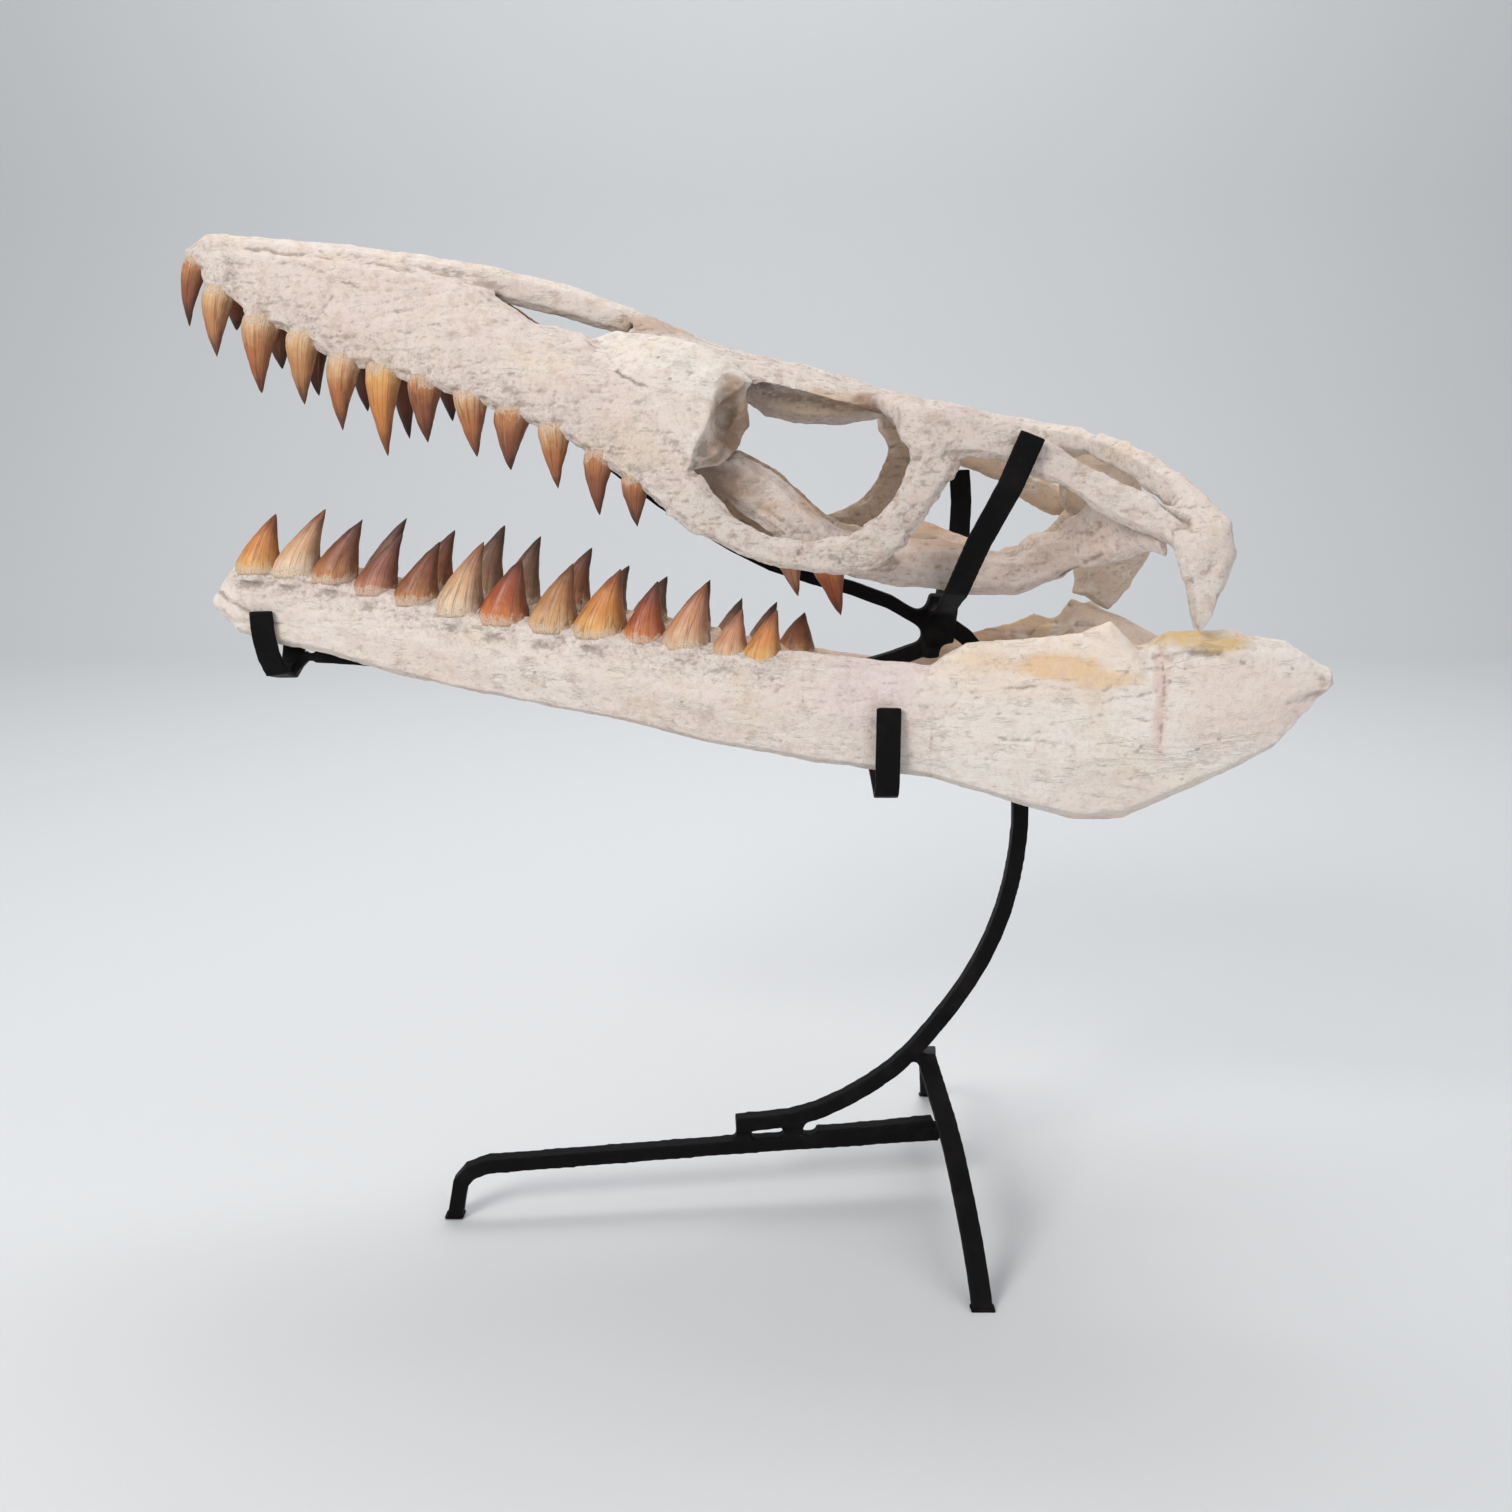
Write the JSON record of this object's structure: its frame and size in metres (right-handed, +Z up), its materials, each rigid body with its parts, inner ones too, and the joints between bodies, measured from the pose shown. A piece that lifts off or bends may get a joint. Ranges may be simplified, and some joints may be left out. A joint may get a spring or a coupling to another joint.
{
  "type": "fossil marine reptile skull on a display stand",
  "caption": "Fossil skull and lower jaws of a giant marine lizard, mouth open, with curved teeth, held up by black bent-iron arms on a curved three-footed display stand.",
  "frame": {"origin": "on the floor under the middle of the whole object's bounding box", "axes": "+X from the snout towards the back of the skull, +Y to the animal's right, +Z up; the middle plane of the head is Y = 0"},
  "size_m": [0.9264, 0.4066, 0.876],
  "materials": {
    "bone": "chalky pinkish-cream fossil bone with orange-brown teeth",
    "pale_bone": "chalky cream fossil bone with fine cracks",
    "dark_bone": "rough brown fossil bone",
    "black_iron": "satin black painted bent iron with a few scuffs"
  },
  "bodies": {
    "root": {"premaxilla": "bone", "frontal": "dark_bone", "parietal": "bone", "braincase": "dark_bone", "maxilla_left": "bone", "prefrontal_left": "pale_bone", "jugal_left": "pale_bone", "postorbital_left": "bone", "squamosal_left": "bone", "supratemporal_left": "bone", "quadrate_left": "pale_bone", "pterygoid_left": "bone", "ectopterygoid_left": "bone", "palatine_left": "dark_bone", "dentary_left": "bone", "coronoid_left": "pale_bone", "surangular_left": "bone", "maxilla_right": "bone", "prefrontal_right": "pale_bone", "jugal_right": "pale_bone", "postorbital_right": "bone", "squamosal_right": "bone", "supratemporal_right": "bone", "quadrate_right": "pale_bone", "pterygoid_right": "bone", "ectopterygoid_right": "bone", "palatine_right": "dark_bone", "dentary_right": "bone", "coronoid_right": "pale_bone", "surangular_right": "bone", "palate": "dark_bone", "stand_post_top": "black_iron", "stand_post_middle": "black_iron", "stand_post_foot": "black_iron", "stand_hub": "black_iron", "stand_bolt": "black_iron", "stand_long_bar": "black_iron", "stand_cross_bar": "black_iron", "stand_strip": "black_iron", "stand_strut_front": "black_iron", "stand_strut_back": "black_iron", "stand_leg_left": "black_iron", "stand_leg_right": "black_iron", "stand_spine": "black_iron", "stand_front_hook": "black_iron", "stand_hook_tie": "black_iron", "stand_drop": "black_iron", "stand_cradle_left": "black_iron", "stand_cradle_right": "black_iron", "stand_clip_left": "black_iron", "stand_clip_right": "black_iron", "stand_palate_arm": "black_iron"}
  },
  "joints": []
}
